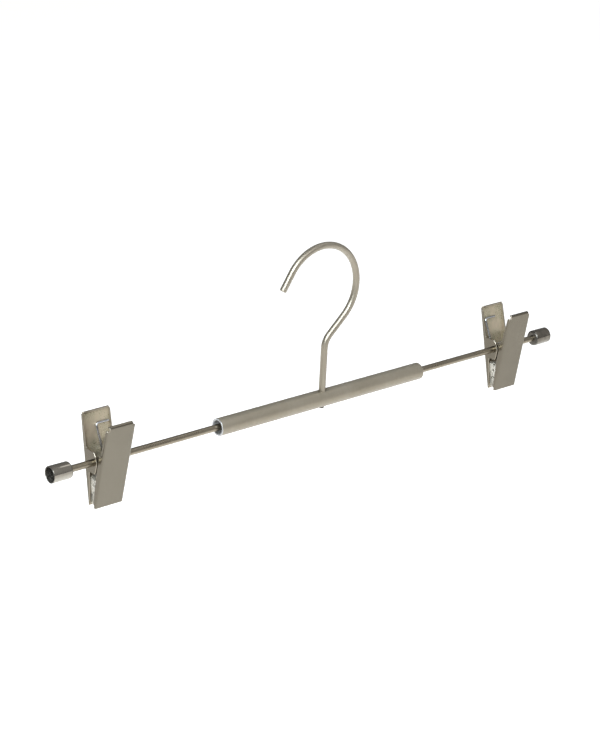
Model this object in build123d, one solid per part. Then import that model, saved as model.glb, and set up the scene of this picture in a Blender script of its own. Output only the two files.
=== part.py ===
from build123d import *
import math
import os

# A metal trouser hanger. A bent wire hook turns in the middle of a short tube. A thin rod runs
# through the tube and out at both ends, with a cupped cap on each tip. Two sprung clips slide and
# swing on the rod, and each has a rear jaw, a front jaw, a wire spring and two soft clear pads.
# Lengths are in millimetres and angles in degrees. X runs along the rod and Z points up.
# Everything is built round the rod's axis, with the hook's shank at x = 0, and is then moved so
# that zero is the point inside the hook that rests on a rail.

# The bar
bar_length = 368.0
rod_diameter = 3.8
rod_head_diameter = 5.6
rod_head_thickness = 1.2
rod_head_chamfer = 0.4
tube_length = 150.0
tube_diameter = 10.0
tube_wall = 1.0
tube_rim_chamfer = 0.3
bush_length = 8.0
bush_recess = 5.0
bush_chamfer = 0.4
cap_diameter = 9.5
cap_depth = 12.0
cap_wall = 0.6
cap_floor = 0.8
cap_inner_corner = 0.7
cap_rim_share = 0.35  # chamfer of the mouth, as a share of the cap's wall

# The hook
wire_diameter = 4.0
shank_height = 30.5  # from the rod's axis to the start of the first bend
neck_radius = 10.5
neck_turn = 46.5
slope_length = 13.55  # of the straight run between the two bends
arc_radius = 26.0
arc_turn = 194.5
tip_length = 11.0
tip_chamfer = 0.35
tail_diameter = 2.2
tail_head_diameter = 3.4
tail_head_thickness = 0.8
tail_head_chamfer = 0.3

# The jaws, measured square to the plate that the fingers press. Each plate leans outwards at the
# top, and the foot of the rod's axis on the plate is the zero height.
left_clip_gap = 14.7  # from a clip to the cap beside it
right_clip_gap = 16.2
left_clip_swing = 1.7  # how far each clip hangs turned about the rod
right_clip_swing = -2.5
jaw_width = 18.0
sheet = 0.9
bend_inner = 0.15
jaw_lean = 10.7
rod_reach = 8.02  # from the rod's axis to the plate's outer face
grip_rise = 26.25
grip_drop = 25.2
lip_depth = 1.9
notch_height = 1.6
notch_inset = 1.1
flange_top_width = 1.6
flange_ear_width = 2.7
flange_arch_width = 3.3
flange_foot_width = 2.1
flange_foot_step = 1.5
flange_round = 0.4
arch_depth = 9.3
rear_ear_shoulder = 7.3
rear_ear_land = 1.65
front_ear_shoulder = 8.1
front_ear_land = 1.15
joggle_start = 3.4

# Corners of the ears, from the shoulder round the nose to the arch, in nose radii. The first
# share points from the rod towards the jaw's own plate and the second points up the plate. The
# last one is the rounding of the corner.
rear_ear_shares = [
    (-0.38, 1.71, 0.35),
    (-0.84, 1.06, 0.45),
    (-0.96, 0.26, 0.40),
    (-0.90, -0.42, 0.40),
    (-0.62, -1.16, 0.30),
    (-0.22, -1.86, 0.12),
    (1.15, -1.68, 0.30),
]
front_ear_shares = [
    (0.23, 1.14, 0.30),
    (-0.60, 0.90, 0.30),
    (-1.00, 0.05, 0.30),
    (-0.62, -0.86, 0.30),
    (0.05, -1.55, 0.20),
    (1.34, -1.93, 0.30),
]

# The springs
spring_wire = 1.2
spring_sides = 8  # flats round the wire, few enough to keep the wound form light
spring_inner_diameter = 4.6
spring_turns = 3
coil_gap = 0.55
arm_height = 18.5  # up the plate, to the crossbar
arm_bend_radius = 1.6
arm_splay = 1.0  # how far each arm leans away from the coil on its way up
crossbar_length = 8.2
biarc_turn = 180.0

# The pads, measured down from the rod's axis with the clip shut
pad_top = 10.0
pad_bottom = 24.8
upper_rib_height = 3.7
lower_rib_height = 3.6
rib_round = 1.5
groove_width = 0.9
groove_depth = 1.9
groove_round = 0.3
strip_thickness = 0.9
slot_web = 0.6
slot_foot = 1.7
slot_round = 0.3

# Clearances
press_gap = 0.01  # round pieces that are pressed together
running_gap = 0.05  # round and beside pieces that turn on each other
ear_gap = 0.1  # between the two jaws' ears
seat_gap = 0.05  # between a plate and what rests on it
coil_side_gap = 0.35  # between the coil and the nearest ear
pad_side_gap = 0.3  # between a pad and the jaw's side walls
pad_face_gap = 0.2  # between the two pads with the clip shut
overrun = 1.0  # how far a cutting solid runs past what it cuts

rod_radius = rod_diameter / 2
wire_radius = wire_diameter / 2
bend_outer = bend_inner + sheet
ear_step = sheet + ear_gap
rear_nose = rod_radius + rear_ear_land
front_nose = rod_radius + front_ear_land
standing = (Align.CENTER, Align.CENTER, Align.MIN)
hanging = (Align.CENTER, Align.CENTER, Align.MAX)


def rounded_face(corners):
    """Make a flat face from triples of two coordinates and a corner radius."""
    points = [(across, up) for across, up, _ in corners]
    radii = [radius for _, _, radius in corners]
    return make_face(FilletPolyline(*points, radius=radii, close=True))


def hook_path():
    """Centre line of the hook above its straight shank, in the plane of the rod."""
    neck = JernArc((0, shank_height), (0, 1), neck_radius, -neck_turn)
    slope = Line(neck @ 1, neck @ 1 + (neck % 1) * slope_length)
    arc = JernArc(slope @ 1, slope % 1, arc_radius, arc_turn)
    tip = Line(arc @ 1, arc @ 1 + (arc % 1) * tip_length)
    return Plane.XZ * Wire([neck, slope, arc, tip])


def saddle():
    """Point inside the top of the hook's arc, where the hanger hangs from its rail."""
    turn = math.radians(neck_turn)
    both_radii = neck_radius + arc_radius
    centre_x = neck_radius - both_radii * math.cos(turn) + slope_length * math.sin(turn)
    centre_z = shank_height + both_radii * math.sin(turn) + slope_length * math.cos(turn)
    return Vector(centre_x, 0, centre_z + arc_radius - wire_radius)


def hook():
    """Bent wire whose lower end is turned down, passed through tube and rod, and peened over."""
    shoulder = rod_radius + running_gap
    seat = -tube_diameter / 2 - running_gap
    foot = [
        (0, seat - tail_head_thickness, 0),
        (tail_head_diameter / 2 - tail_head_chamfer, seat - tail_head_thickness, 0),
        (tail_head_diameter / 2, seat - tail_head_thickness + tail_head_chamfer, 0),
        (tail_head_diameter / 2, seat, 0),
        (tail_diameter / 2, seat, 0),
        (tail_diameter / 2, shoulder, 0),
        (wire_radius, shoulder, 0),
        (wire_radius, shank_height, 0),
        (0, shank_height, 0),
    ]
    shank = revolve(Plane.XZ * rounded_face(foot), Axis.Z)
    path = hook_path()
    bend = sweep(Plane.XY.offset(shank_height) * Circle(wire_radius), path=path)
    tip_face = bend.faces().sort_by_distance(path @ 1)[0]
    return shank + chamfer(tip_face.edges(), tip_chamfer)


def centre_tube():
    """Tube with chamfered rims, a wide hole on top for the shank and a small one below."""
    wall = Circle(tube_diameter / 2) - Circle(tube_diameter / 2 - tube_wall)
    tube = extrude(Plane.YZ * wall, tube_length / 2, both=True)
    rims = tube.faces().filter_by(GeomType.PLANE).edges()
    tube = chamfer(rims, tube_rim_chamfer)
    drill_length = tube_diameter / 2 + overrun
    tube -= Cylinder(wire_radius + running_gap, drill_length, align=standing)
    tube -= Cylinder(tail_diameter / 2 + running_gap, drill_length, align=hanging)
    return tube


def cap_seat_x():
    """Distance from the shank to the closed end of a cap."""
    return bar_length / 2 - cap_depth


def cross_rod():
    """Rod with a cross hole for the hook's tail and an upset head inside each cap."""
    neck_end = cap_seat_x() + cap_floor + press_gap
    rod = extrude(Plane.YZ * Circle(rod_radius), neck_end, both=True)
    head = Cylinder(rod_head_diameter / 2, rod_head_thickness, align=standing)
    head = chamfer(head.faces().sort_by(Axis.Z)[-1].edges(), rod_head_chamfer)
    for side in (1, -1):
        rod += Pos(side * neck_end, 0, 0) * Rot(0, side * 90, 0) * head
    return rod - Cylinder(tail_diameter / 2 + running_gap, rod_diameter + overrun)


def tube_bush(side):
    """Bush that holds the rod in the tube, set back from the tube's end."""
    outer = tube_diameter / 2 - tube_wall - press_gap
    ring = Cylinder(outer, bush_length)
    ring = chamfer(ring.edges().filter_by(GeomType.CIRCLE), bush_chamfer)
    ring -= Cylinder(rod_radius + press_gap, bush_length + overrun)
    centre = tube_length / 2 - bush_recess - bush_length / 2
    return Pos(side * centre, 0, 0) * Rot(0, 90, 0) * ring


def end_cap(side):
    """Drawn cup with its closed end on the rod and its open mouth facing outwards."""
    outer = cap_diameter / 2
    cup = Cylinder(outer, cap_depth, align=standing)
    cup = fillet(cup.faces().sort_by(Axis.Z)[0].edges(), cap_inner_corner + cap_wall)
    hollow = Pos(0, 0, cap_floor) * Cylinder(outer - cap_wall, cap_depth, align=standing)
    hollow = chamfer(hollow.faces().sort_by(Axis.Z)[0].edges(), cap_inner_corner)
    cup -= hollow
    cup -= Cylinder(rod_radius + press_gap, cap_depth, align=standing)
    cup = chamfer(cup.faces().sort_by(Axis.Z)[-1].edges(), cap_wall * cap_rim_share)
    return Pos(side * cap_seat_x(), 0, 0) * Rot(0, side * 90, 0) * cup


def channel_profile(step):
    """Cross section of a jaw, seen down its plate: a channel whose walls step in by `step`."""
    open_end = -rod_reach
    walls = []
    for inset in (0, sheet):
        half = jaw_width / 2 - inset
        radius = bend_outer if inset == 0 else bend_inner
        wall = [(rod_reach - inset, half, radius)]
        if step > 0:
            knee = rod_reach - joggle_start
            wall += [(knee, half, 0), (knee - step, half - step, 0)]
        wall += [(open_end, half - step, 0)]
        mirrored = [(across, -along, radius) for across, along, radius in reversed(wall)]
        walls.append(rounded_face(wall + mirrored))
    return walls[0] - walls[1]


def side_profile(ear_shares, nose, shoulder):
    """Side view of a jaw, with the rod at zero: the plate, its flanges and the ear."""
    inner = rod_reach - sheet
    flange_top = grip_rise - notch_height
    flange_foot = -grip_drop + flange_foot_step
    outline = [
        (rod_reach, grip_rise, 0),
        (inner, grip_rise, 0),
        (inner, flange_top, 0),
        (rod_reach - flange_top_width, flange_top, flange_round),
        (rod_reach - flange_ear_width, shoulder, flange_round),
    ]
    outline += [(nose * out, nose * up, nose * corner) for out, up, corner in ear_shares]
    outline += [
        (rod_reach - flange_arch_width, -arch_depth, flange_round),
        (rod_reach - flange_foot_width, flange_foot, flange_round),
        (inner, flange_foot, 0),
        (inner, -grip_drop, 0),
        (rod_reach, -grip_drop, 0),
    ]
    return rounded_face(outline) + Circle(nose)


def top_lip():
    """Folded-in top edge of a jaw, as wide as the notches at its ends leave it."""
    corner = rod_reach - sheet
    half = jaw_width / 2 - notch_inset
    fold = [
        (rod_reach, grip_rise, bend_outer),
        (rod_reach - lip_depth, grip_rise, 0),
        (rod_reach - lip_depth, grip_rise - sheet, 0),
        (corner, grip_rise - sheet, 0),
        (corner, grip_rise - notch_height - overrun, 0),
        (rod_reach, grip_rise - notch_height - overrun, 0),
    ]
    return extrude(Plane.YZ * rounded_face(fold), half, both=True)


def jaw(ear_shares, nose, shoulder, step):
    """Pressed sheet jaw round the rod's axis, with its plate towards +Y and upright."""
    above = Plane(origin=(0, 0, grip_rise), x_dir=(0, 1, 0), z_dir=(0, 0, -1))
    channel = extrude(above * channel_profile(step), grip_rise + grip_drop)
    side = Plane.YZ * side_profile(ear_shares, nose, shoulder)
    pressed = channel & extrude(side, jaw_width / 2, both=True)
    notch = Box(jaw_width + overrun, rod_reach + overrun, notch_height + overrun, align=standing)
    pressed -= Pos(0, rod_reach, grip_rise - notch_height) * notch
    pressed += top_lip()
    bore = extrude(Plane.YZ * Circle(rod_radius + running_gap), jaw_width, both=True)
    return pressed - bore


def rear_jaw():
    """Rear jaw, whose ears are the outer ones."""
    return Rot(-jaw_lean, 0, 0) * jaw(rear_ear_shares, rear_nose, rear_ear_shoulder, 0)


def front_jaw():
    """Front jaw, whose ears step in between the rear jaw's ears."""
    upright = jaw(front_ear_shares, front_nose, front_ear_shoulder, ear_step)
    return mirror(Rot(-jaw_lean, 0, 0) * upright, about=Plane.XZ)


def biarc(start, start_way, end, end_way):
    """Two arcs that leave `start` along `start_way` and reach `end` along `end_way`."""
    span = end - start
    ways = start_way + end_way
    spread = 2 * (1 - start_way.dot(end_way))
    along = span.dot(ways)
    reach = (math.sqrt(along**2 + spread * span.dot(span)) - along) / spread
    first = start + start_way * reach
    last = end - end_way * reach
    middle = (first + last) / 2
    return [
        Edge.make_tangent_arc(start, start_way, middle),
        Edge.make_tangent_arc(middle, (last - first).normalized(), end),
    ]


def spring_path(coil_start):
    """Centre line of a spring whose coil runs along the rod from `coil_start`."""
    radius = (spring_inner_diameter + spring_wire) / 2
    pitch = spring_wire + coil_gap
    lean = math.radians(jaw_lean)
    out = rod_reach - sheet - seat_gap - spring_wire / 2
    bar_y = out * math.cos(lean) + arm_height * math.sin(lean)
    bar_z = arm_height * math.cos(lean) - out * math.sin(lean)
    arm_lean = math.atan2(bar_y, bar_z) - math.asin(radius / math.hypot(bar_y, bar_z))
    arm_rise = arm_splay * radius / math.sqrt(bar_y**2 + bar_z**2 - radius**2)
    wrap = spring_turns * 360 + 180 - 2 * math.degrees(arm_lean)
    coil_end = coil_start + pitch * wrap / 360
    steps = math.ceil(wrap / biarc_turn)
    coil = []
    for index in range(steps + 1):
        angle = -arm_lean - math.radians(wrap) * index / steps
        x = coil_start + (coil_end - coil_start) * index / steps
        rise = arm_rise if index in (0, steps) else pitch / (2 * math.pi)
        place = Vector(x, radius * math.cos(angle), radius * math.sin(angle))
        way = Vector(rise, radius * math.sin(angle), -radius * math.cos(angle))
        coil.append((place, way.normalized()))
    edges = spring_arm(coil_start, bar_y, bar_z, coil[0][0], 1)
    for (start, start_way), (end, end_way) in zip(coil, coil[1:]):
        edges += biarc(start, start_way, end, end_way)
    edges += spring_arm(coil_end, -bar_y, bar_z, coil[-1][0], -1)
    return Wire(edges)


def spring_arm(x, bar_y, bar_z, foot, way):
    """Crossbar, bend and straight arm that end at `foot`; the crossbar points along `way`."""
    corner = Vector(x - way * arm_splay, bar_y, bar_z)
    across = Vector(way, 0, 0)
    down = (foot - corner).normalized()
    bar_end = corner + across * crossbar_length
    bend_start = corner + across * arm_bend_radius
    bend_end = corner + down * arm_bend_radius
    if way > 0:
        bend = Edge.make_tangent_arc(bend_start, across * -1, bend_end)
        return [Edge.make_line(bar_end, bend_start), bend, Edge.make_line(bend_end, foot)]
    bend = Edge.make_tangent_arc(bend_end, down * -1, bend_start)
    return [Edge.make_line(foot, bend_end), bend, Edge.make_line(bend_start, bar_end)]


def coil_length():
    """Distance between the centre lines of a spring's first and last curls."""
    ends = spring_path(0)
    return (ends @ 1).X + crossbar_length - arm_splay


def clip_spring(coil_start):
    """Torsion spring that holds a clip shut: one wound wire with two crossbars."""
    path = spring_path(coil_start)
    outline = RegularPolygon(spring_wire / 2, spring_sides)
    section = Plane(origin=path @ 0, z_dir=path % 0) * outline
    return sweep(section, path=path)


def spring_least_gap():
    """Least clear distance between one curl and the next, measured on points of the wire."""
    path = spring_path(0)
    samples = 500
    step = path.length / samples
    half_curl = math.ceil(math.pi * spring_inner_diameter / 2 / step)
    points = [path @ (index / samples) for index in range(samples + 1)]
    nearest = min(
        (points[later] - points[earlier]).length
        for earlier in range(samples + 1)
        for later in range(earlier + half_curl, samples + 1)
    )
    return nearest - spring_wire


def plate_inside(z):
    """Distance from the clip's middle plane to the inside of a shut jaw's plate at height z."""
    lean = math.radians(jaw_lean)
    return (rod_reach - sheet - seat_gap) / math.cos(lean) + z * math.tan(lean)


def rear_pad():
    """Ribbed soft pad on the rear jaw, with a slot behind its lower gripping strip."""
    face = pad_face_gap / 2
    outline = [
        (plate_inside(-pad_top), -pad_top, 0),
        (face, -pad_top, rib_round),
    ]
    depth = pad_top
    for rib_height in (upper_rib_height, lower_rib_height):
        depth += rib_height
        groove_floor = depth + groove_width / 2
        outline += [
            (face, -depth, rib_round),
            (face + groove_depth, -groove_floor, groove_round),
            (face, -depth - groove_width, rib_round),
        ]
        depth += groove_width
    outline[-1] = (face, -depth, groove_round)
    outline += [
        (face, -pad_bottom, groove_round),
        (plate_inside(-pad_bottom), -pad_bottom, 0),
    ]
    slot_x = face + strip_thickness
    slot_top = -depth
    slot_bottom = slot_foot - pad_bottom
    slot = [
        (slot_x, slot_top, slot_round),
        (slot_x, slot_bottom, slot_round),
        (plate_inside(slot_bottom) - slot_web, slot_bottom, slot_round),
        (plate_inside(slot_top) - slot_web, slot_top, slot_round),
    ]
    profile = rounded_face(outline) - rounded_face(slot)
    half = jaw_width / 2 - sheet - pad_side_gap
    return extrude(Plane.YZ * profile, half, both=True)


def front_pad():
    """Soft pad on the front jaw, the rear one's mirror image."""
    return mirror(rear_pad(), about=Plane.XZ)


def clip_pieces(name, side, gap, swing):
    """All pieces of one clip, whose coil has slid against the ear nearest the tube."""
    centre_x = side * (cap_seat_x() - gap - jaw_width / 2)
    room = jaw_width / 2 - sheet - ear_step - coil_side_gap - spring_wire / 2
    coil_start = room - coil_length() if side < 0 else -room
    pieces = {
        "rear_jaw": rear_jaw(),
        "front_jaw": front_jaw(),
        "spring": clip_spring(coil_start),
        "rear_pad": rear_pad(),
        "front_pad": front_pad(),
    }
    place = Pos(centre_x, 0, 0) * Rot(swing, 0, 0)
    return {f"{name}_{piece}": place * solid for piece, solid in pieces.items()}


def main():
    """Build every piece and write one file for each."""
    nodes = {
        "hook": hook(),
        "centre_tube": centre_tube(),
        "cross_rod": cross_rod(),
        "left_bush": tube_bush(-1),
        "right_bush": tube_bush(1),
        "left_cap": end_cap(-1),
        "right_cap": end_cap(1),
    }
    nodes.update(clip_pieces("left", -1, left_clip_gap, left_clip_swing))
    nodes.update(clip_pieces("right", 1, right_clip_gap, right_clip_swing))
    to_saddle = Pos(saddle() * -1)
    os.makedirs("parts", exist_ok=True)
    for name, solid in nodes.items():
        export_step(to_saddle * solid, f"parts/{name}.step")
    print(f"least gap between the curls of a spring: {spring_least_gap():.2f} mm")


main()
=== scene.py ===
"""Looks of a metal trouser hanger: a wire hook on a short tube, a thin rod and two sprung clips.

Sizes are in millimetres, measured from the rod's axis under the hook's shank, with X along the
rod, Y away from the viewer and Z up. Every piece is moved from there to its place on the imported
part and scaled to metres.
"""

import logging
import math
from dataclasses import dataclass
from enum import Enum
from functools import cached_property

import bpy
import numpy as np
from mathutils import Matrix, Vector
from mathutils.geometry import tessellate_polygon

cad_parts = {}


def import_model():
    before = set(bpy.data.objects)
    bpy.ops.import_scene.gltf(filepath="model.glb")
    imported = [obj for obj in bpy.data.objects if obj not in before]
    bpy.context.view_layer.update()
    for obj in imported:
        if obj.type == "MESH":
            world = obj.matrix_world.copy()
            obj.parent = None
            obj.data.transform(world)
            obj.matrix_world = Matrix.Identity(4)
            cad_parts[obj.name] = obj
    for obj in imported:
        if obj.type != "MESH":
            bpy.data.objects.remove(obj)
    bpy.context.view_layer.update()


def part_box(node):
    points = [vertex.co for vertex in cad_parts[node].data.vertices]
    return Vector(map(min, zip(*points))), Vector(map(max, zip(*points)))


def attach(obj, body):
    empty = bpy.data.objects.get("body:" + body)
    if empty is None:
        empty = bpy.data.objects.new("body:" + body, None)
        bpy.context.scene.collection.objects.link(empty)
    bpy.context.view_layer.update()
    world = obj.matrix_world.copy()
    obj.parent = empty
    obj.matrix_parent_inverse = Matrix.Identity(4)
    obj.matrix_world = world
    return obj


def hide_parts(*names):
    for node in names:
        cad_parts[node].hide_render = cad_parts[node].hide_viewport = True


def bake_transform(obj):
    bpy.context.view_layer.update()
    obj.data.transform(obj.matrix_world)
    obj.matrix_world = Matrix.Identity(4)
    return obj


log = logging.getLogger("trouser_hanger")

METRE = 0.001
TURN = 2 * math.pi
RIM_STEPS = 4
SOFT_DETAIL = 2.0
FULL_DETAIL = 4.0
NOISE_STOPS = (0.3, 0.5, 0.7)

Triple = tuple[float, float, float]
Socket = bpy.types.NodeSocket


class Slot(Enum):
    """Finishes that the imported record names."""

    SATIN_NICKEL = "satin_nickel"
    BRIGHT_NICKEL = "bright_nickel"
    ZINC_WIRE = "zinc_wire"
    CLEAR_PAD = "clear_pad"


class Direction(Enum):
    """A choice of direction, whose name also stands in the names of pieces."""

    @property
    def label(self) -> str:
        """Name of this choice in lower case."""
        return self.name.lower()


class Side(Direction):
    """The two ends of the bar, with the direction of each along X."""

    LEFT = -1
    RIGHT = 1


class Facing(Direction):
    """Which way a jaw's plate faces along Y."""

    REAR = 1
    FRONT = -1


# Paths and outlines


def unit(vectors: np.ndarray) -> np.ndarray:
    """Vectors scaled to length one."""
    return vectors / np.linalg.norm(vectors, axis=-1, keepdims=True)


def circle(angle: np.ndarray) -> np.ndarray:
    """Points (cos a, sin a) of the unit circle."""
    return np.stack([np.cos(angle), np.sin(angle)], axis=-1)


def walked(path: np.ndarray) -> np.ndarray:
    """Distance walked along a path at each of its points."""
    steps = np.linalg.norm(np.diff(path, axis=0), axis=1)
    return np.concatenate(([0.0], np.cumsum(steps)))


def resampled(values: np.ndarray, distance: np.ndarray, stations: np.ndarray) -> np.ndarray:
    """Rows of values at other distances, in proportion between the rows on each side."""
    return np.stack([np.interp(stations, distance, column) for column in values.T], axis=-1)


def straight(start: np.ndarray, end: np.ndarray, steps: int) -> np.ndarray:
    """Evenly spaced points from a start to just before an end."""
    return start + (end - start) * np.linspace(0, 1, steps, endpoint=False)[:, None]


def rounded(corners: list[Triple], steps: int) -> np.ndarray:
    """Closed outline with rounded corners.

    At each corner an arc touches both sides, at its radius over the tangent of half the corner's
    angle from the corner.

    Args:
        corners: Two coordinates and a corner radius each, in order round the outline.
        steps: How many steps an arc has.

    Returns:
        Points of the outline, as rows of two coordinates.
    """
    places = np.array([corner[:2] for corner in corners], dtype=float)
    pieces = []
    for index, (_, _, radius) in enumerate(corners):
        corner = places[index]
        if radius <= 0:
            pieces.append(corner[None, :])
            continue
        to_last = unit(places[index - 1] - corner)
        to_next = unit(places[(index + 1) % len(corners)] - corner)
        half = math.acos(float(np.clip(to_last @ to_next, -1, 1))) / 2
        centre = corner + unit(to_last + to_next) * radius / math.sin(half)
        start = corner + to_last * radius / math.tan(half) - centre
        end = corner + to_next * radius / math.tan(half) - centre
        sweep = math.atan2(start[0] * end[1] - start[1] * end[0], start @ end)
        angle = math.atan2(start[1], start[0]) + np.linspace(0, sweep, steps + 1)
        pieces.append(centre + radius * circle(angle))
    return np.concatenate(pieces)


def rim(radius: float, rounding: float) -> np.ndarray:
    """Rounded end of a wire: a quarter circle from its flat face out to its side.

    Args:
        radius: Radius of the wire.
        rounding: Radius of the quarter circle.

    Returns:
        Rows of distance from the wire's end and radius there.
    """
    angle = np.linspace(0, math.pi / 2, RIM_STEPS + 1)
    return np.array([0.0, radius]) + rounding * (1 - circle(angle)) * np.array([1.0, -1.0])


def revolved(profile: np.ndarray, around: int) -> np.ndarray:
    """Turn a profile round the X axis.

    A point at distance r from the axis goes to (x, -r cos a, r sin a) for angles a all round.

    Args:
        profile: Rows of x and r.
        around: How many points each ring has.

    Returns:
        One ring for each row of the profile.
    """
    angle = np.arange(around) * TURN / around
    x = np.repeat(profile[:, :1], around, axis=1)
    radius = profile[:, 1:2]
    return np.stack([x, -radius * np.cos(angle), radius * np.sin(angle)], axis=-1)


def pin(radius: float, low: float, high: float, around: int) -> np.ndarray:
    """Two rings of one radius on the X axis, which make a plain pin."""
    return revolved(np.array([[low, radius], [high, radius]]), around)


def swept(
    path: np.ndarray, side: np.ndarray, start: np.ndarray, end: np.ndarray, around: int
) -> np.ndarray:
    """Carry a circle along a path.

    Each ring stands square to the path, and its points are r (s cos a + o sin a), where s is the
    given side made square to the path and o is square to both. The start and the end have their
    own rows of radii, and between them the radius is that of the last row of the start.

    Args:
        path: Points of the centre line, as rows of x, y and z.
        side: A direction that is nowhere along the path, one for each point.
        start: Rows of distance from the path's start and radius there.
        end: Rows of distance from the path's end and radius there.
        around: How many points each ring has.

    Returns:
        Rings along the path.
    """
    margin = 1e-3
    distance = walked(path)
    length = distance[-1]
    middle = (distance > start[-1, 0] + margin) & (distance < length - end[-1, 0] - margin)
    between = distance[middle]
    stations = np.concatenate([start[:, 0], between, length - end[::-1, 0]])
    radii = np.concatenate([start[:, 1], np.full(len(between), start[-1, 1]), end[::-1, 1]])
    way = unit(np.gradient(path, axis=0))
    centres, ways, sides = (resampled(rows, distance, stations) for rows in (path, way, side))
    ways = unit(ways)
    sides = unit(sides - ways * np.sum(sides * ways, axis=1, keepdims=True))
    others = np.cross(ways, sides)
    angle = (np.arange(around) * TURN / around)[None, :, None]
    spokes = sides[:, None, :] * np.cos(angle) + others[:, None, :] * np.sin(angle)
    return centres[:, None, :] + spokes * radii[:, None, None]


# Skins made from grids of points


def bands(count: int, columns: int, around: int) -> np.ndarray:
    """Four-sided faces between rows of points.

    The point in row r and column c has number r n + c for rows of n points, and a column past
    the row's end is its first one again.

    Args:
        count: How many bands of faces there are.
        columns: How many faces a band has.
        around: How many points a row has.

    Returns:
        Numbers of the points, by band, face and corner.
    """
    row = np.arange(count)[:, None] * around
    column = np.arange(columns)[None, :]
    after = (column + 1) % around
    below = row + around
    corners = np.broadcast_arrays(row + column, row + after, below + after, below + column)
    return np.stack(corners, axis=-1)


class Skin:
    """Points and faces of one piece, gathered from closed shells."""

    def __init__(self) -> None:
        """Start with no points."""
        self._points: list[np.ndarray] = []
        self._loops: list[np.ndarray] = []
        self._sizes: list[np.ndarray] = []
        self._count = 0

    def add(self, points: np.ndarray, faces: list[np.ndarray]) -> "Skin":
        """Add one closed shell, turned so that its faces point outwards.

        The shell's volume is the sum of the signed volumes of the tetrahedra that its triangles
        make with its middle. It is negative where the faces point inwards, and they are turned.

        Args:
            points: Points in millimetres, as rows of x, y and z.
            faces: Arrays of faces, one face in each row.

        Returns:
            This skin.
        """
        volume = 0.0
        middle = points.mean(axis=0)
        for group in faces:
            first = points[group[:, 0]] - middle
            for corner in range(1, group.shape[1] - 1):
                second = points[group[:, corner]] - middle
                third = points[group[:, corner + 1]] - middle
                volume += float(np.einsum("ij,ij->", first, np.cross(second, third)))
        for group in faces:
            outward = group if volume > 0 else group[:, ::-1]
            self._loops.append((outward + self._count).ravel())
            self._sizes.append(np.full(len(group), group.shape[1]))
        self._points.append(points)
        self._count += len(points)
        return self

    def add_rings(self, rings: np.ndarray, closed: bool = False) -> "Skin":
        """Add rings of points as one closed shell.

        A band of four-sided faces joins each ring to the next. The last ring joins the first
        too, or else each of the two is filled with one flat face.

        Args:
            rings: Points with the shape rings, points on a ring, 3.
            closed: Whether the last ring joins the first.

        Returns:
            This skin.
        """
        count, around, _ = rings.shape
        joined = bands(count if closed else count - 1, around, around)
        faces = [joined.reshape(-1, 4) % (count * around)]
        if not closed:
            point = np.arange(around)[None, :]
            faces += [point[:, ::-1], point + (count - 1) * around]
        return self.add(rings.reshape(-1, 3), faces)

    def mesh(self, name: str, *finishes: "Finish", sharp_angle: float = 35.0) -> bpy.types.Mesh:
        """Make the mesh, with smooth shading apart from its sharp edges.

        Args:
            name: Name of the mesh.
            *finishes: Its finishes. Every face has the first one until others are picked.
            sharp_angle: Edges with a larger angle between their faces stay sharp, in degrees.

        Returns:
            The new mesh, in millimetres.
        """
        points = np.concatenate(self._points)
        loops = np.concatenate(self._loops).astype(np.int32)
        sizes = np.concatenate(self._sizes)
        starts = np.concatenate(([0], np.cumsum(sizes)[:-1])).astype(np.int32)
        mesh = bpy.data.meshes.new(name)
        mesh.vertices.add(len(points))
        mesh.vertices.foreach_set("co", points.astype(np.float32).ravel())
        mesh.loops.add(len(loops))
        mesh.loops.foreach_set("vertex_index", loops)
        mesh.polygons.add(len(sizes))
        mesh.polygons.foreach_set("loop_start", starts)
        mesh.update(calc_edges=True)
        mesh.validate()
        mesh.shade_smooth()
        mesh.set_sharp_from_angle(angle=math.radians(sharp_angle))
        for finish in finishes:
            mesh.materials.append(finish.material)
        return mesh


def face_middles(mesh: bpy.types.Mesh) -> np.ndarray:
    """The x, y and z of the middles of a mesh's faces, as three rows.

    Args:
        mesh: The mesh.

    Returns:
        The rows, with one column for each face.
    """
    middles = np.empty(len(mesh.polygons) * 3, dtype=np.float32)
    mesh.polygons.foreach_get("center", middles)
    return middles.reshape(-1, 3).T


def pick_finish(mesh: bpy.types.Mesh, chosen: np.ndarray) -> None:
    """Give each face the finish with its number."""
    mesh.polygons.foreach_set("material_index", chosen.astype(np.int32))


def linked(name: str, data: bpy.types.ID) -> bpy.types.Object:
    """Add an object that shows some data to the scene.

    Args:
        name: Name of the object.
        data: Mesh, lamp or camera that it shows.

    Returns:
        The new object.
    """
    thing = bpy.data.objects.new(name, data)
    bpy.context.scene.collection.objects.link(thing)
    return thing


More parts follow.
